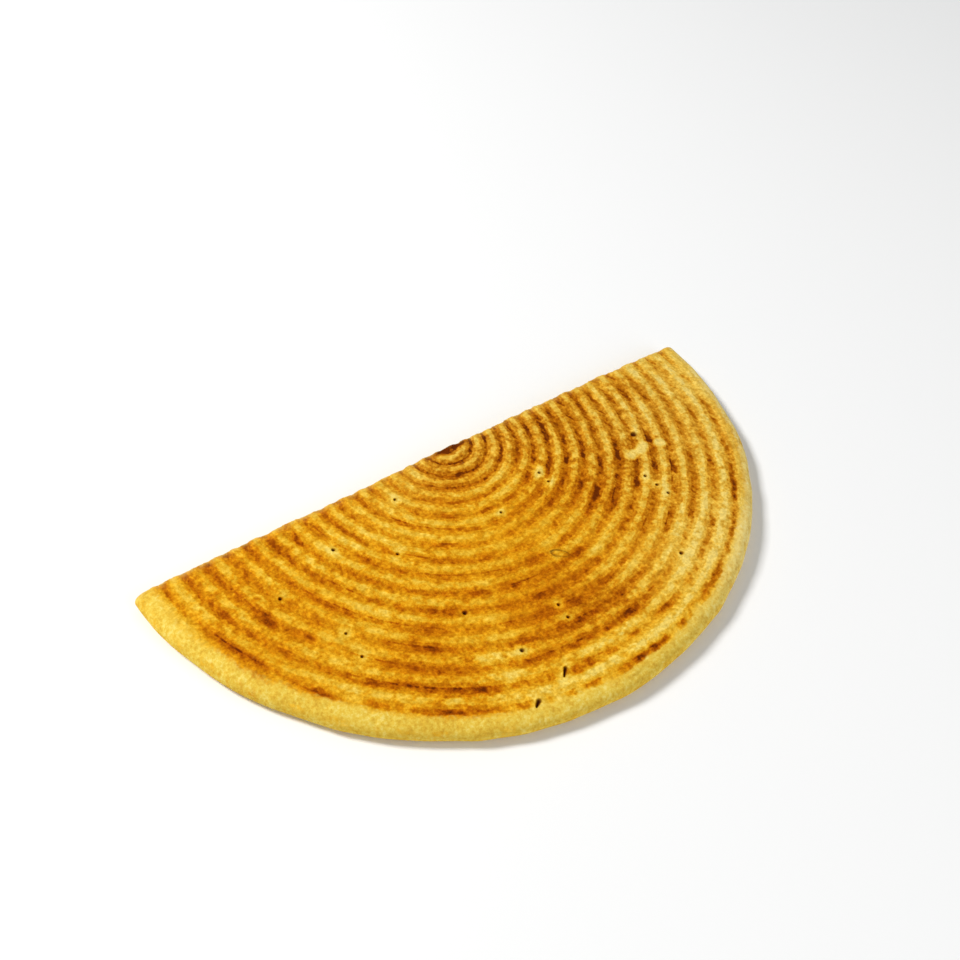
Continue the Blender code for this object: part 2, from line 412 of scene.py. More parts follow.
# A small blister with a dark outline: its middle, its long direction and its half sizes
BLISTER = (0.0100, -0.0700)
BLISTER_TURN = np.radians(-43)
BLISTER_SIZE = (0.0036, 0.0014)
BLISTER_HEIGHT = 0.00035
BLISTER_UNEVENNESS = 0.28
BLISTER_NOISE_SIZE = 0.0026

# The blister's outline: its width, how it breaks up, and how dark it is
OUTLINE_WIDTH = 0.25
OUTLINE_USUAL = 0.75
OUTLINE_SPREAD = 0.9
OUTLINE_SIZE = 0.0030
OUTLINE_DARKNESS = 0.95

# The holes, slits and blister lie in the upper face, which is everything above this
UPPER_FACE_HEIGHT = RIM_HEIGHT + 0.001


def hole_distances(x, y):
    """The distance to the nearest hole's or slit's middle line, and its half width there."""
    nearest = np.full(len(x), np.inf)
    half = np.ones(len(x))
    for px, py, size in PITS:
        distance = np.hypot(x - px, y - py)
        closer = distance / size < nearest
        nearest = np.where(closer, distance / size, nearest)
        half = np.where(closer, size, half)
    for start, end, size in SLITS:
        start, run = np.array(start), np.array(end) - np.array(start)
        share = np.clip(((x - start[0]) * run[0] + (y - start[1]) * run[1]) / (run @ run), 0, 1)
        distance = np.hypot(x - start[0] - share * run[0], y - start[1] - share * run[1])
        size = size * (SLIT_START_SHARE - SLIT_TAPER * share)
        closer = distance / size < nearest
        nearest = np.where(closer, distance / size, nearest)
        half = np.where(closer, size, half)
    return nearest * half, half


def ring_dashes(x, y):
    """The sum of the single dashes, which are bent along the rings."""
    radius = np.hypot(x, y - MIDDLE_BEYOND_CUT)
    angle = np.arctan2(y - MIDDLE_BEYOND_CUT, x)
    total = 0.0
    for px, py, half, strength in DASHES:
        own_radius = np.hypot(px, py - MIDDLE_BEYOND_CUT)
        across = (radius - own_radius) / DASH_HALF_WIDTH
        along = (angle - np.arctan2(py - MIDDLE_BEYOND_CUT, px)) * own_radius / half
        total = total + strength * np.exp(-across ** 2 - along ** 4)
    return total


def blister_distance(x, y):
    """Distance from the blister's middle, where 1 is its outline."""
    along = (x - BLISTER[0]) * np.cos(BLISTER_TURN) + (y - BLISTER[1]) * np.sin(BLISTER_TURN)
    across = (y - BLISTER[1]) * np.cos(BLISTER_TURN) - (x - BLISTER[0]) * np.sin(BLISTER_TURN)
    distance = np.hypot(along / BLISTER_SIZE[0], across / BLISTER_SIZE[1])
    return distance * (1.0 + BLISTER_UNEVENNESS * noise(x, y, BLISTER_NOISE_SIZE, BLISTER_SEED))


def surface_fields(x, y, number, side):
    """How toasted each point of a face is, and how strongly its rings show."""
    broad_seed, small_seed, strength_seed = UPPER_SEEDS if side > 0 else LOWER_SEEDS
    inside = np.clip((RING_COUNT - LAST_RING_END - number) / LAST_RING_FADE, 0.0, 1.0)
    toast = USUAL_TOAST + BROAD_TOAST * noise(x, y, BROAD_TOAST_SIZE, broad_seed)
    toast = toast + SMALL_TOAST * noise(x, y, SMALL_TOAST_SIZE, small_seed)
    near_rim = np.clip(RIM_TOAST_REACH - edge_distance(x, y) / RIM_TOAST_FADE, 0.0, 1.0)
    toast = toast - RIM_TOAST_LOSS * near_rim
    strength = USUAL_STRENGTH + STRENGTH_SPREAD * noise(x, y, STRENGTH_SIZE, strength_seed)
    if side > 0:
        bare = patches(x, y, BARE) * (1.0 + BARE_UNEVENNESS * noise(x, y, BARE_SIZE, BARE_SEED))
        bare = np.clip(BARE_SHARPNESS * bare - 1.0, 0.0, 1.0)
        uneven = 1.0 + BURNT_UNEVENNESS * noise(x, y, BURNT_SIZE, BURNT_SEED, 2)
        burnt = patches(x, y, BURNT) * uneven
        toast = toast + patches(x, y, TOASTED_AND_SHADOWED) + burnt - patches(x, y, LEFT_PALE)
        toast = toast * (1.0 - bare)
        toast = toast + ring_dashes(x, y)
        strength = (strength + patches(x, y, RING_STRENGTH)) * (1.0 - bare)
    return toast, np.clip(strength, *STRENGTH_LIMITS) * inside


def pale_band(x, y):
    """How far into the pale border along the rim a point lies, from 0 to 1."""
    distance = edge_distance(x, y)
    side = np.clip(x / RADIUS, -1.0, 1.0)
    width = BAND_WIDTH - BAND_LEAN * side - BAND_END_LOSS * side ** 2
    width = width + BAND_UNEVENNESS * noise(x, y, BAND_SIZE, BAND_SEED)
    return np.clip((width - distance) / BAND_FADE + 0.5, 0.0, 1.0)


def face_fields(x, y, number, side):
    """The values at each point of a face that the material reads, by name."""
    toast, contrast = surface_fields(x, y, number, side)
    # How much of the dusty colour each point takes, which is partly painted sheen and light
    dust_and_sheen = np.clip(patches(x, y, DUST_AND_SHEEN), 0.0, 1.0)
    return {"ring": number, "toast": toast, "contrast": contrast, "dust_and_sheen": dust_and_sheen,
            "pale": pale_band(x, y)}


def groove_depth(x, y, number, full, side):
    """The grooves' depth: a share of the full depth, larger where the rings show strongly."""
    strength = surface_fields(x, y, number, side)[1]
    share = np.clip(SMALLEST_GROOVE_SHARE + GROOVE_SHARE_BY_STRENGTH * strength,
                    SMALLEST_GROOVE_SHARE, LARGEST_GROOVE_SHARE)
    return full * share * groove(number)


def upper_height(x, y, number):
    """The upper face's height, with its finer bumps."""
    border = np.clip(BORDER_REACH - edge_distance(x, y) / BORDER_FADE, 0.0, 1.0)
    bumps = BROAD_BUMPS * noise(x, y, BROAD_BUMP_SIZE, BROAD_BUMP_SEED)
    bumps = bumps + FINE_BUMPS * noise(x, y, FINE_BUMP_SIZE, FINE_BUMP_SEED, 2)
    bumps = bumps + border * BORDER_BUMPS * noise(x, y, BORDER_BUMP_SIZE, BORDER_BUMP_SEED)
    off_crease = np.abs(noise(x, y, CREASE_SPACING, CREASE_SEED)) / CREASE_WIDTH
    bumps = bumps - border * CREASE_DEPTH * np.clip(1.0 - off_crease, 0.0, 1.0)
    crown = THICKNESS - RIM_HEIGHT + puff(x, y) + bumps
    crown = crown - groove_depth(x, y, number, UPPER_GROOVE, 1)
    return RIM_HEIGHT + crown * rounding(edge_distance(x, y), UPPER_ROUNDING)


def lower_height(x, y, number):
    """The lower face's height over the floor, with its finer bumps."""
    share = rounding(edge_distance(x, y), LOWER_ROUNDING)
    bumps = LOWER_BUMPS * (1.0 + noise(x, y, LOWER_BUMP_SIZE, LOWER_BUMP_SEED))
    press = groove_depth(x, y, number, LOWER_GROOVE, -1)
    return RIM_HEIGHT * (1.0 - share) + (press + bumps) * share


class Surface:
    """Collects the bread's points, the faces between them and the values at each point."""

    def __init__(self):
        self.places = []
        self.values = {name: [] for name in FIELDS}
        self.faces = []
        self.count = 0

    def row(self, places, **values):
        places = np.asarray(places, dtype=float)
        self.places.append(places)
        for name in FIELDS:
            self.values[name].append(np.broadcast_to(values.get(name, 0.0), len(places)))
        self.count += len(places)
        return np.arange(self.count - len(places), self.count)

    def add_faces(self, *corners):
        self.faces.extend(np.column_stack(corners).tolist())

    def stitch(self, inner, outer):
        """Joins two rows with as many points, or where the outer row has twice the columns."""
        if len(inner) == len(outer):
            self.add_faces(inner[:-1], outer[:-1], outer[1:], inner[1:])
            return
        first, middle, last = outer[:-2:2], outer[1:-1:2], outer[2::2]
        self.add_faces(inner[:-1], first, middle)
        self.add_faces(inner[:-1], middle, inner[1:])
        self.add_faces(inner[1:], middle, last)

    def zip_rows(self, near, near_x, far, far_x):
        """Joins two rows that run the same way with any numbers of points."""
        i = j = 0
        while i < len(near) - 1 or j < len(far) - 1:
            if j == len(far) - 1 or (i < len(near) - 1 and near_x[i + 1] <= far_x[j + 1]):
                self.faces.append([int(near[i]), int(near[i + 1]), int(far[j])])
                i += 1
            else:
                self.faces.append([int(near[i]), int(far[j + 1]), int(far[j])])
                j += 1

    def array(self):
        return np.concatenate(self.places)


def refine_round_holes(bm, shift):
    """Splits the upper face's edges near each hole, so that the holes come out round."""
    tops = [face for face in bm.faces if face.calc_center_median().z > RIM_HEIGHT]
    centres = np.array([face.calc_center_median() for face in tops]) - shift
    distance, half = hole_distances(centres[:, 0], centres[:, 1])
    ring = blister_distance(centres[:, 0], centres[:, 1])
    near = (distance < REFINED_HALF_WIDTHS * half + REFINED_MARGIN) | (ring < REFINED_BLISTER)
    edges = {edge for face, wanted in zip(tops, near) if wanted for edge in face.edges}
    bmesh.ops.subdivide_edges(bm, edges=list(edges), cuts=REFINED_CUTS, use_grid_fill=True)


def press_holes(mesh, shift):
    """Sinks the holes, raises the blister and writes how dark their crust is, with painted shade
    in the holes, and how pale.
    """
    places = np.empty(len(mesh.vertices) * 3, dtype=np.float32)
    mesh.vertices.foreach_get("co", places)
    places = places.reshape(-1, 3).astype(float)
    x, y = (places - shift)[:, 0], (places - shift)[:, 1]
    upper = places[:, 2] > UPPER_FACE_HEIGHT
    distance, half = hole_distances(x, y)
    hole = np.exp(-(distance / half) ** 4) * upper
    collar = np.exp(-((distance - COLLAR_PLACE * half) / (COLLAR_WIDTH * half)) ** 2) * upper
    ring = blister_distance(x, y)
    swell = np.clip(1.0 - ring ** 2, 0.0, 1.0) * upper
    places[:, 2] += COLLAR_HEIGHT * collar - HOLE_DEPTH * hole + BLISTER_HEIGHT * swell
    mesh.vertices.foreach_set("co", places.astype(np.float32).ravel())
    outline = np.exp(-((ring - 1.0) / OUTLINE_WIDTH) ** 2) * upper
    unbroken = OUTLINE_USUAL + OUTLINE_SPREAD * noise(x, y, OUTLINE_SIZE, OUTLINE_SEED)
    outline = outline * np.clip(unbroken, 0.0, 1.0)
    # Dark brown round each hole's middle: partly browned crust, partly painted shade of the hole
    brown_and_shade = np.exp(-(distance / (BROWN_AND_SHADE_REACH * half)) ** 4) * upper
    beside = 1.0 - np.exp(-(distance / (HALO_START * half)) ** 4)
    halo = np.exp(-(distance / HALO_WIDTH) ** 2) * beside * upper
    for name, values in (("hole", np.maximum(brown_and_shade, OUTLINE_DARKNESS * outline)), ("halo", halo)):
        layer = mesh.attributes.new(name, "FLOAT", "POINT")
        layer.data.foreach_set("value", values.astype(np.float32))


def border_shares(rows):
    """Shares of the way to the rim, closer together near it, without either end."""
    return np.sin(0.5 * np.pi * np.arange(1, rows + 1) / (rows + 1))


def tear(x):
    """How far the torn crust along the cut stands out or back."""
    broad = TEAR * noise(x, 0.0 * x, TEAR_SIZE, TEAR_SEED)
    return broad + FINE_TEAR * noise(x, 0.0 * x, FINE_TEAR_SIZE, FINE_TEAR_SEED, 2)


def torn(points):
    """The points with those near the cut moved with its torn edge."""
    x, y = points[:, 0], points[:, 1]
    return np.column_stack((x, y + tear(x) * np.exp(y / TORN_WIDTH)))


def add_face(surface, centres, height, side, rows_per_ring, columns, border_rows, rim_row):
    """Builds one face of the bread and returns its edge along the cut, from left to right."""
    first = round(INNERMOST_RING * rows_per_ring)
    numbers = np.arange(first, round(LAST_SHOULDER * rows_per_ring) + 1) / rows_per_ring
    hub_x = ring_centre(centres, INNERMOST_RING)[0]
    rows = [(np.array([[hub_x, 0.0]]), np.zeros(1), numbers[:1])]
    for number in numbers:
        smaller = int(np.log2(RADIUS / ring_radius(number)))
        points, along = ring_points(centres, number, columns // 2 ** min(smaller, HALVINGS))
        rows.append((points, along, np.full(len(points), number)))
    shoulder, shoulder_along = points, along
    rim, rim_along = rim_points(columns)
    for share in border_shares(border_rows):
        points = shoulder + (rim - shoulder) * share
        along = shoulder_along + (rim_along - shoulder_along) * share
        number = numbers[-1] + (RIM_NUMBER - numbers[-1]) * share
        rows.append((points, along, np.full(len(points), number)))

    left, right = [], []
    before = None
    for points, along, number in rows:
        burnt = patches(points[:, 0], points[:, 1], BURNT)
        scorched = np.clip(BURNT_HOLDS * burnt, 0.0, 1.0)
        frayed = TORN_CRUMB * np.exp(points[:, 1] / FRAYED_WIDTH) * (1.0 - scorched)
        points = torn(points)
        x, y = points[:, 0], points[:, 1]
        z = height(x, y, number)
        fields = face_fields(x, y, number, side)
        row = surface.row(np.column_stack((x, y, z)), along=along, crumb=frayed, **fields)
        if before is None:
            left.append(row[0])
        else:
            if len(before) == 1:
                hub = np.repeat(before, len(row) - 1)
                surface.add_faces(hub, row[:-1], row[1:])
            else:
                surface.stitch(before, row)
            left.append(row[0])
            right.append(row[-1])
        before = row
    surface.stitch(before, rim_row)
    return np.array(left[::-1] + right)


def crag(x, z):
    """How far the crumb stands out of the cut's plane, or behind it."""
    return CRAG_DEPTH * sum(
        share * value_noise(finer * x / CRAG_SIZE, finer * z / CRAG_HEIGHT, seed)
        for finer, share, seed in CRAG_LAYERS)


def add_cut(surface, upper, lower, left_end, right_end):
    """Fills the cut between the two faces' edges with rows of rough crumb."""
    places = surface.array()
    top, bottom = places[upper], places[lower]
    under_z = np.interp(top[:, 0], bottom[:, 0], bottom[:, 2])
    under_y = np.interp(top[:, 0], bottom[:, 0], bottom[:, 1])
    before = upper
    for i in range(1, CUT_ROWS):
        share = i / CUT_ROWS
        z = top[:, 2] + (under_z - top[:, 2]) * share
        y = top[:, 1] + (under_y - top[:, 1]) * share
        room = np.minimum(1.0, (top[:, 2] - under_z) / CRAG_FULL_THICKNESS)
        relief = crag(top[:, 0], z) * room
        row = surface.row(np.column_stack((top[:, 0], y + relief, z)), crumb=1.0, depth=relief)
        surface.stitch(before, row)
        for end, at in ((left_end, 0), (right_end, -1)):
            surface.faces.append([int(end), int(before[at]), int(row[at])])
        before = row
    surface.zip_rows(before, top[:, 0], lower, bottom[:, 0])
    for end, at in ((left_end, 0), (right_end, -1)):
        surface.faces.append([int(end), int(before[at]), int(lower[at])])


def bread_mesh(shift):
    surface = Surface()
    rim, along = rim_points(UPPER_COLUMNS)
    rim_fields = face_fields(rim[:, 0], rim[:, 1], np.full(len(rim), RIM_NUMBER), 1)
    rim_places = np.column_stack((rim, np.full(len(rim), RIM_HEIGHT)))
    rim_row = surface.row(rim_places, along=along, **rim_fields)
    upper = add_face(surface, UPPER_CENTRES, upper_height, 1, UPPER_ROWS_PER_RING, UPPER_COLUMNS,
                     UPPER_BORDER_ROWS, rim_row)
    lower = add_face(surface, LOWER_CENTRES, lower_height, -1, LOWER_ROWS_PER_RING, LOWER_COLUMNS,
                     LOWER_BORDER_ROWS, rim_row)
    add_cut(surface, upper, lower, rim_row[0], rim_row[-1])
    places = surface.array()
    mesh = bpy.data.meshes.new("flatbread")
    mesh.from_pydata((places + shift).tolist(), [], surface.faces)
    for name in FIELDS:
        layer = mesh.attributes.new(name, "FLOAT", "POINT")
        layer.data.foreach_set("value", np.concatenate(surface.values[name]).astype(np.float32))
    bm = bmesh.new()
    bm.from_mesh(mesh)
    refine_round_holes(bm, shift)
    bmesh.ops.recalc_face_normals(bm, faces=bm.faces)
    bm.to_mesh(mesh)
    bm.free()
    press_holes(mesh, shift)
    mesh.shade_smooth()
    mesh.set_sharp_from_angle(angle=SHARP_ANGLE)
    return mesh


def linear(red, green, blue):
    """A colour for a shader from its 0 to 255 values on screen."""
    parts = np.array((red, green, blue)) / 255.0
    parts = np.where(parts <= 0.04045, parts / 12.92, ((parts + 0.055) / 1.055) ** 2.4)
    return (*parts, 1.0)


class Nodes:
    """Short ways to add and link shader nodes."""

    def __init__(self, material):
        material.use_nodes = True
        self.tree = material.node_tree
        self.shader = self.tree.nodes["Principled BSDF"]

    def feed(self, socket, value):
        if isinstance(value, bpy.types.NodeSocket):
            self.tree.links.new(value, socket)
        else:
            socket.default_value = value

    def field(self, name):
        node = self.tree.nodes.new("ShaderNodeAttribute")
        node.attribute_name = name
        return node.outputs["Fac"]

    def place(self):
        return self.tree.nodes.new("ShaderNodeTexCoord").outputs["Object"]

    def math(self, operation, a, b=0.0, c=0.0, clamp=False):
        node = self.tree.nodes.new("ShaderNodeMath")
        node.operation = operation
        node.use_clamp = clamp
        for socket, value in zip(node.inputs, (a, b, c)):
            self.feed(socket, value)
        return node.outputs[0]

    def spread(self, value, low, high, to_low=0.0, to_high=1.0):
        """The value taken smoothly from one range to another, held at both ends."""
        node = self.tree.nodes.new("ShaderNodeMapRange")
        node.interpolation_type = "SMOOTHSTEP"
        for socket, part in zip(node.inputs, (value, low, high, to_low, to_high)):
            self.feed(socket, part)
        return node.outputs[0]

    def vector(self, x, y, z=0.0):
        node = self.tree.nodes.new("ShaderNodeCombineXYZ")
        for socket, value in zip(node.inputs, (x, y, z)):
            self.feed(socket, value)
        return node.outputs[0]

    def noise(self, place, scale, detail=2.0, roughness=0.5):
        node = self.tree.nodes.new("ShaderNodeTexNoise")
        for name, value in (("Vector", place), ("Scale", scale), ("Detail", detail),
                            ("Roughness", roughness)):
            self.feed(node.inputs[name], value)
        return node.outputs["Fac"]

    def ramp(self, value, stops):
        node = self.tree.nodes.new("ShaderNodeValToRGB")
        self.feed(node.inputs[0], value)
        elements = node.color_ramp.elements
        for position, colour in stops[2:]:
            elements.new(position)
        for element, (position, colour) in zip(elements, stops):
            element.position = position
            element.color = linear(*colour)
        return node.outputs["Color"]

    def mix(self, share, a, b):
        node = self.tree.nodes.new("ShaderNodeMix")
        node.data_type = "RGBA"
        self.feed(node.inputs["Factor"], share)
        self.feed(node.inputs["A"], a)
        self.feed(node.inputs["B"], b)
        return node.outputs["Result"]

    def shade(self, colour, value):
        node = self.tree.nodes.new("ShaderNodeHueSaturation")
        self.feed(node.inputs["Color"], colour)
        self.feed(node.inputs["Value"], value)
        return node.outputs["Color"]

    def bump(self, height, strength, distance, normal=None):
        node = self.tree.nodes.new("ShaderNodeBump")
        self.feed(node.inputs["Strength"], strength)
        self.feed(node.inputs["Distance"], distance)
        self.feed(node.inputs["Height"], height)
        if normal is not None:
            self.feed(node.inputs["Normal"], normal)
        return node.outputs["Normal"]


# From the palest crest to a burnt groove
GOLDEN_COLOURS = (
    (0.00, (240, 207, 98)), (0.14, (235, 191, 68)), (0.28, (230, 176, 42)),
    (0.42, (221, 153, 19)), (0.56, (205, 126, 8)), (0.70, (183, 99, 4)),
    (0.84, (156, 73, 2)), (1.00, (104, 42, 4)),
)
# The same for the dusty places, paler and bluer: partly dust, partly painted sheen
DUST_AND_SHEEN_COLOURS = (
    (0.00, (237, 206, 110)), (0.14, (232, 193, 84)), (0.28, (227, 178, 64)),
    (0.42, (215, 154, 41)), (0.56, (196, 128, 24)), (0.70, (176, 103, 7)),
    (0.84, (150, 77, 3)), (1.00, (104, 44, 4)),
)
GOLDEN_RIM = ((0.0, (206, 158, 50)), (0.38, (227, 186, 64)), (0.68, (235, 203, 84)),
              (1.0, (245, 220, 120)))
# The rim in the dusty places, paler cream: partly dust, partly painted light on the right-front
# rim
DUST_AND_SHEEN_RIM = ((0.0, (225, 187, 92)), (0.38, (244, 213, 120)), (0.68, (250, 225, 138)),
              (1.0, (253, 236, 168)))
CRUMB_COLOURS = ((0.0, (208, 160, 62)), (0.45, (232, 194, 98)), (1.0, (246, 222, 138)))
PORE_COLOUR = (170, 118, 36)
# Dark brown in the holes and slits: partly browned crust, partly painted shade of their depth
HOLE_COLOUR = (74, 28, 6)

# Noises over the surface: features in a metre, detail and, where it isn't a half, roughness
WANDER_NOISE = (260.0, 4.0, 0.7)
LINE_NOISE = (150.0, 2.0)
CREST_NOISE = (230.0, 3.0, 0.6)
SCORCH_NOISE = (420.0, 2.0)
MOTTLING_NOISE = (430.0, 3.0, 0.7)
CLUMP_NOISE = (620.0, 1.0)
GRAIN_NOISE = (1050.0, 2.0, 0.7)
RIM_NOISE = (700.0, 4.0, 0.65)
RIM_BLOTCH_NOISE = (170.0, 2.0)
CRUMB_NOISE = (900.0, 4.0, 0.65)
PORE_NOISE = (480.0, 2.0, 0.6)
TORN_NOISE = (350.0, 2.0)
COARSE_NOISE = (420.0, 3.0, 0.6)
FINE_NOISE = (1300.0, 3.0, 0.6)

# Noises along the rings: features in a metre, how far apart two rings' are, and roughness
DASH_NOISE = (115.0, 7.31, 0.65)
SCORCH_LENGTH_NOISE = (30.0, 3.7, 0.6)
STREAK_NOISE = (170.0, 8.0, 0.7)

# The brown lines, from the wave that is 1 in each groove and -1 between two: how far they wander
# in ring numbers, where their edge lies from ring 1 to ring 6, how uneven it is, where they are
# full, how they break into dashes, and how much is left between those from ring 1 to ring 4
WANDER = 0.46
LINE_EDGE = (1.0, 6.0, 0.62, 0.25)
LINE_UNEVENNESS = 0.9
LINE_FULL = 0.97
DASH_RANGE = (0.36, 0.66)
UNBROKEN = (1.0, 4.0, 0.42, 0.15)

# The pale crests: where they lie in the wave, how they break up, and how weak the inner ones are
CREST_RANGE = (-0.1, -0.85)
CREST_BREAKS = (0.30, 0.60)
INNER_CRESTS = (1.0, 5.0, 0.85, 1.0)

# The scorched lines: how far beside the groove's middle, how thin, how long and how broken
SCORCH_PHASE = 0.75
SCORCH_WIDTH = (0.93, 0.995)
SCORCH_LENGTHS = (0.50, 0.62)
SCORCH_BREAKS = (0.36, 0.56)

# How much each mark adds to the toasting, and the most ring strength that a crest counts
BROWNING = 0.58
CREST_PALING = -0.50
STRONGEST_CREST = 0.72
SCORCHING = 0.22
STREAKING = 0.30
MOTTLING = 0.16
MOTTLING_BY_STRENGTH = 0.75
CREST_MOTTLING = -0.45
CLUMPING = -0.22
GRAINING = -0.12
HALO_PALING = -0.42

# How light each speck is: a noise's range, and the lightness at its ends
GRAIN_LIGHT = (0.26, 0.74, 0.88, 1.11)
CLUMP_LIGHT = (0.25, 0.75, 0.86, 1.10)
MOTTLING_LIGHT = (0.30, 0.70, 1.06, 0.93)

# The rim's grain and blotches, and how the toasting's mottles and lines reach into the pale band
RIM_RANGE = (0.18, 0.82)
RIM_BLOTCHES = (0.30, 0.70, -0.14, 0.14)
BAND_MOTTLING = 1.2
BAND_LINES = -0.6
BAND_RANGE = (0.15, 0.85)

# The crumb: how much lighter it is where it stands out and darker in its hollows, which is painted
# light and shade, the range of its colours, its pores, its patches in the torn crust, and the
# value above which nothing but crumb shows
CRUMB_RELIEF_SHADING = 240.0
CRUMB_RANGE = (0.15, 0.85)
PORE_RANGE = (0.68, 0.76, 0.0, 0.7)
TORN_RANGE = (0.35, 0.55, 0.3, 1.0)
WHOLE_CRUMB = 0.95

# The surface: rougher where it is paler, hardly shiny, with coarse and fine bumps, each a
# strength and a height
ROUGHNESS = (0.2, 1.0, 0.74, 0.58)
SHINE = 0.02
COARSE_BUMP = (0.25, 0.0004)
FINE_BUMP = (0.35, 0.0002)


def centred(nodes, value):
    return nodes.math("SUBTRACT", value, 0.5)


def noise_along_rings(nodes, ring, finer, apart, roughness):
    """Noise that is stretched along the rings."""
    place = nodes.vector(nodes.math("MULTIPLY", nodes.field("along"), finer),
                         nodes.math("MULTIPLY", ring, apart))
    return nodes.noise(place, 1.0, 3.0, roughness)


def ring_lines(nodes, place):
    """The brown line in each groove, broken into dashes, and the crest between two grooves."""
    ring = nodes.math("MULTIPLY_ADD", centred(nodes, nodes.noise(place, *WANDER_NOISE)), WANDER,
                      nodes.field("ring"))
    wave = nodes.math("COSINE", nodes.math("MULTIPLY", ring, 2 * np.pi))
    edge = nodes.math("MULTIPLY_ADD", centred(nodes, nodes.noise(place, *LINE_NOISE)),
                      LINE_UNEVENNESS, nodes.spread(ring, *LINE_EDGE))
    line = nodes.spread(wave, edge, LINE_FULL)
    dashes = noise_along_rings(nodes, nodes.math("ROUND", ring), *DASH_NOISE)
    browned = nodes.math("MULTIPLY", line, nodes.math(
        "MAXIMUM", nodes.spread(dashes, *DASH_RANGE), nodes.spread(ring, *UNBROKEN)))
    crest = nodes.math("MULTIPLY", nodes.spread(wave, *CREST_RANGE),
                       nodes.spread(nodes.noise(place, *CREST_NOISE), *CREST_BREAKS))
    crest = nodes.math("MULTIPLY", crest, nodes.spread(ring, *INNER_CRESTS))
    return browned, crest


def scorched_lines(nodes, place):
    """Thin dark lines that the edges of the plate's rings left along parts of some grooves."""
    ring = nodes.field("ring")
    wave = nodes.math("COSINE", nodes.math("MULTIPLY_ADD", ring, 2 * np.pi, SCORCH_PHASE))
    lengths = noise_along_rings(nodes, nodes.math("ROUND", ring), *SCORCH_LENGTH_NOISE)
    present = nodes.spread(lengths, *SCORCH_LENGTHS)
    broken = nodes.spread(nodes.noise(place, *SCORCH_NOISE), *SCORCH_BREAKS)
    return nodes.math("MULTIPLY", nodes.spread(wave, *SCORCH_WIDTH),
                      nodes.math("MULTIPLY", present, broken))


def toast_level(nodes, place, lines, specks):
    """How toasted the crust is, with its lines, crests, streaks, specks and halos."""
    browned, crest = lines
    mottling, clumps, grain = specks
    strength = nodes.field("contrast")
    paleness = nodes.math("MULTIPLY", crest, nodes.math("MINIMUM", strength, STRONGEST_CREST))
    streaks = noise_along_rings(nodes, nodes.field("ring"), *STREAK_NOISE)
    blotches = nodes.math("MULTIPLY_ADD", strength, MOTTLING_BY_STRENGTH, MOTTLING)
    blotches = nodes.math("MULTIPLY", blotches,
                          nodes.math("MULTIPLY_ADD", crest, CREST_MOTTLING, 1.0))
    marks = (
        (nodes.math("MULTIPLY", browned, strength), BROWNING),
        (paleness, CREST_PALING),
        (scorched_lines(nodes, place), SCORCHING),
        (centred(nodes, streaks), STREAKING),
        (centred(nodes, mottling), blotches),
        (centred(nodes, clumps), CLUMPING),
        (centred(nodes, grain), GRAINING),
        (nodes.field("halo"), HALO_PALING),
    )
    level = nodes.field("toast")
    for mark, weight in marks:
        level = nodes.math("MULTIPLY_ADD", mark, weight, level)
    return level


def browned_crust(nodes, toast, specks):
    """The toasted crust's colour, golden or dusty with painted sheen, lighter and darker in
    specks.
    """
    mottling, clumps, grain = specks
    light = nodes.math("MULTIPLY", nodes.spread(grain, *GRAIN_LIGHT),
                       nodes.spread(clumps, *CLUMP_LIGHT))
    light = nodes.math("MULTIPLY", light, nodes.spread(mottling, *MOTTLING_LIGHT))
    colour = nodes.mix(nodes.field("dust_and_sheen"), nodes.ramp(toast, GOLDEN_COLOURS),
                       nodes.ramp(toast, DUST_AND_SHEEN_COLOURS))
    return nodes.shade(colour, light)


def pale_rim(nodes, place):
    """The untoasted rim's colour, golden or dusty with painted sheen and light."""
    level = nodes.math(
        "ADD", nodes.spread(nodes.noise(place, *RIM_NOISE), *RIM_RANGE),
        nodes.spread(nodes.noise(place, *RIM_BLOTCH_NOISE), *RIM_BLOTCHES))
    return nodes.mix(nodes.field("dust_and_sheen"), nodes.ramp(level, GOLDEN_RIM),
                     nodes.ramp(level, DUST_AND_SHEEN_RIM))


def pale_share(nodes, browned, mottling):
    """How far the rim's colour takes the toasted crust's place."""
    share = nodes.math("MULTIPLY_ADD", centred(nodes, mottling), BAND_MOTTLING,
                       nodes.field("pale"))
    return nodes.spread(nodes.math("MULTIPLY_ADD", browned, BAND_LINES, share), *BAND_RANGE)


def crumb_colour(nodes, place):
    """The crumb's colour, with painted light where it stands out and painted shade in its hollows,
    and with its pores.
    """
    # Painted light and shade from the crumb's relief
    level = nodes.math("MULTIPLY_ADD", nodes.field("depth"), CRUMB_RELIEF_SHADING,
                       nodes.noise(place, *CRUMB_NOISE))
    colour = nodes.ramp(nodes.spread(level, *CRUMB_RANGE), CRUMB_COLOURS)
    pores = nodes.spread(nodes.noise(place, *PORE_NOISE), *PORE_RANGE)
    return nodes.mix(pores, colour, linear(*PORE_COLOUR))


def crumb_share(nodes, place):
    """Where crumb shows: all over the cut, and in patches of the torn crust beside it."""
    crumb = nodes.field("crumb")
    patchy = nodes.math("MULTIPLY", crumb,
                        nodes.spread(nodes.noise(place, *TORN_NOISE), *TORN_RANGE))
    return nodes.math("MAXIMUM", patchy, nodes.math("GREATER_THAN", crumb, WHOLE_CRUMB))


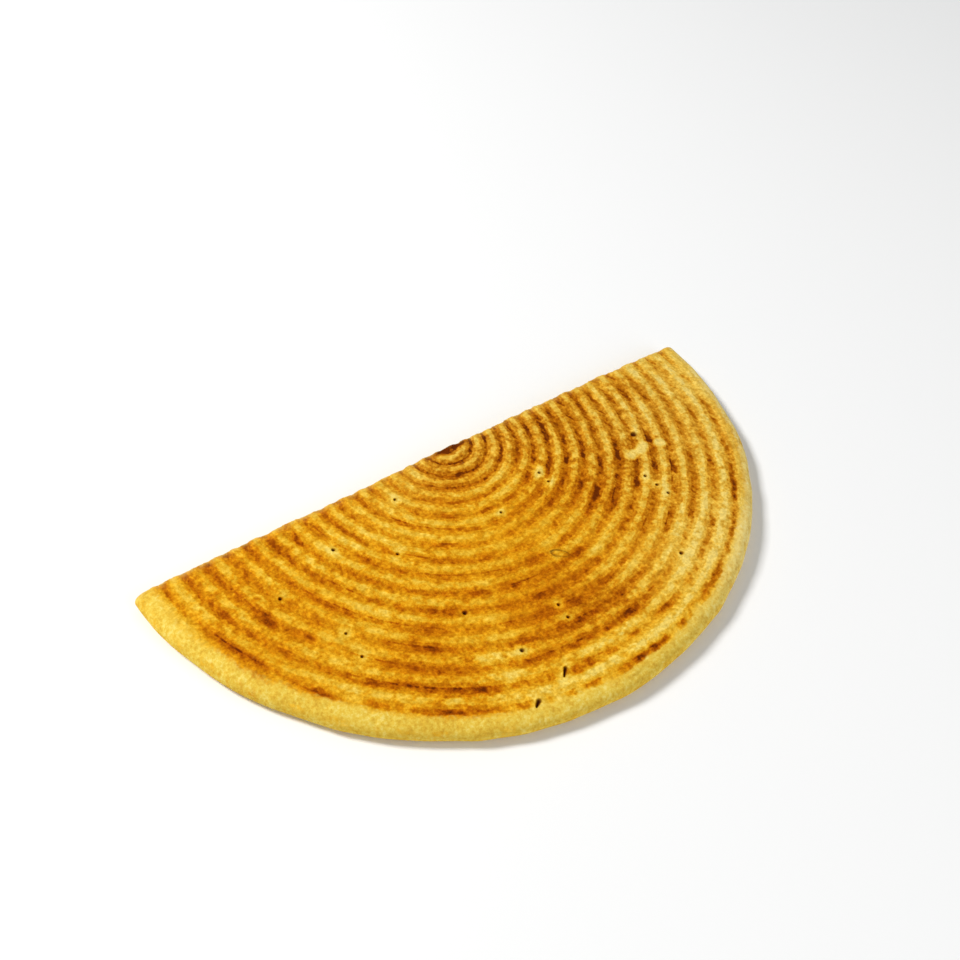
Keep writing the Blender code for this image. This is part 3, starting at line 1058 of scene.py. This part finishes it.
def toasted_crust():
    material = bpy.data.materials.new("toasted_crust")
    nodes = Nodes(material)
    place = nodes.place()
    lines = ring_lines(nodes, place)
    specks = [nodes.noise(place, *kind) for kind in (MOTTLING_NOISE, CLUMP_NOISE, GRAIN_NOISE)]
    toast = toast_level(nodes, place, lines, specks)

    crust = nodes.mix(pale_share(nodes, lines[0], specks[0]), browned_crust(nodes, toast, specks),
                      pale_rim(nodes, place))
    colour = nodes.mix(crumb_share(nodes, place), crust, crumb_colour(nodes, place))
    # Dark brown in the holes and slits, partly painted shade, and the blister's dark outline
    colour = nodes.mix(nodes.field("hole"), colour, linear(*HOLE_COLOUR))
    nodes.feed(nodes.shader.inputs["Base Color"], colour)
    nodes.feed(nodes.shader.inputs["Roughness"], nodes.spread(toast, *ROUGHNESS))
    nodes.shader.inputs["Specular IOR Level"].default_value = SHINE

    normal = nodes.bump(nodes.noise(place, *COARSE_NOISE), *COARSE_BUMP)
    normal = nodes.bump(nodes.noise(place, *FINE_NOISE), *FINE_BUMP, normal)
    nodes.feed(nodes.shader.inputs["Normal"], normal)
    return material


def add_bread():
    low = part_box("flatbread_half")[0]
    rim = rim_points(UPPER_COLUMNS)[0]
    shift = np.array((low[0] - rim[:, 0].min(), low[1] - rim[:, 1].min(), 0.0))
    bread = bpy.data.objects.new("flatbread", bread_mesh(shift))
    bpy.context.scene.collection.objects.link(bread)
    bread.data.materials.append(toasted_crust())
    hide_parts("flatbread_half")
    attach(bread, "root")
    return Vector(shift)


# The photograph's own view: its direction, its place and its lens
CAMERA_AZIMUTH = np.radians(-43.2144)
CAMERA_ELEVATION = np.radians(47.5246)
CAMERA_ROLL = np.radians(8.5363)
CAMERA_PLACE = (-0.22845, -0.27142, 0.38303)
CAMERA_SENSOR = 36.0
CAMERA_LENS = 45.8
CAMERA_NEAREST = 0.01

# The floor: half its width, its cells each way, how far it lies below the bread, and its look
FLOOR_REACH = 3.0
FLOOR_CELLS = 8
FLOOR_GAP = 0.0002
FLOOR_COLOUR = (0.95, 0.955, 0.96, 1.0)
FLOOR_ROUGHNESS = 0.9

# Lights: name, place, size and power
LIGHTS = (
    ("key", (-0.95, 1.05, 1.35), 0.45, 35.0),
    ("fill", (0.45, -1.30, 0.80), 1.2, 8.0),
)
LIGHT_COLOUR = (1.0, 0.99, 0.97)
SURROUND_COLOUR = (0.96, 0.98, 1.0, 1.0)
SURROUND_STRENGTH = 0.30


def add_camera(shift):
    """The photograph's own view."""
    azimuth, elevation = CAMERA_AZIMUTH, CAMERA_ELEVATION
    back = Vector((np.cos(elevation) * np.sin(azimuth), -np.cos(elevation) * np.cos(azimuth),
                   np.sin(elevation)))
    level = Vector((np.cos(azimuth), np.sin(azimuth), 0.0))
    across = Matrix.Rotation(CAMERA_ROLL, 3, back) @ level
    camera = bpy.data.objects.new("camera", bpy.data.cameras.new("camera"))
    camera.data.sensor_width = CAMERA_SENSOR
    camera.data.lens = CAMERA_LENS
    camera.data.clip_start = CAMERA_NEAREST
    turn = Matrix((across, back.cross(across), back)).transposed().to_4x4()
    camera.matrix_world = Matrix.Translation(Vector(CAMERA_PLACE) + shift) @ turn
    bpy.context.scene.collection.objects.link(camera)
    bpy.context.scene.camera = camera


def add_floor():
    bm = bmesh.new()
    bmesh.ops.create_grid(bm, x_segments=FLOOR_CELLS, y_segments=FLOOR_CELLS, size=FLOOR_REACH)
    mesh = bpy.data.meshes.new("floor")
    bm.to_mesh(mesh)
    bm.free()
    floor = bpy.data.objects.new("floor", mesh)
    floor.location.z = -FLOOR_GAP
    bpy.context.scene.collection.objects.link(floor)
    material = bpy.data.materials.new("floor")
    material.use_nodes = True
    shader = material.node_tree.nodes["Principled BSDF"]
    shader.inputs["Base Color"].default_value = FLOOR_COLOUR
    shader.inputs["Roughness"].default_value = FLOOR_ROUGHNESS
    floor.data.materials.append(material)


def add_area_light(name, place, size, power):
    """A square light that faces the bread."""
    light = bpy.data.lights.new(name, "AREA")
    light.size = size
    light.energy = power
    light.color = LIGHT_COLOUR
    lamp = bpy.data.objects.new(name, light)
    lamp.location = place
    lamp.rotation_euler = (-Vector(place)).to_track_quat("-Z", "Y").to_euler()
    bpy.context.scene.collection.objects.link(lamp)


def add_lights():
    """A key light from the back left and a weak fill light, in a bright, even surround."""
    for light in LIGHTS:
        add_area_light(*light)
    world = bpy.data.worlds.new("surround")
    bpy.context.scene.world = world
    world.use_nodes = True
    backdrop = world.node_tree.nodes["Background"]
    backdrop.inputs["Color"].default_value = SURROUND_COLOUR
    backdrop.inputs["Strength"].default_value = SURROUND_STRENGTH
    bpy.context.scene.view_settings.view_transform = "Standard"


def main():
    shift = add_bread()
    add_camera(shift)
    add_floor()
    add_lights()


main()
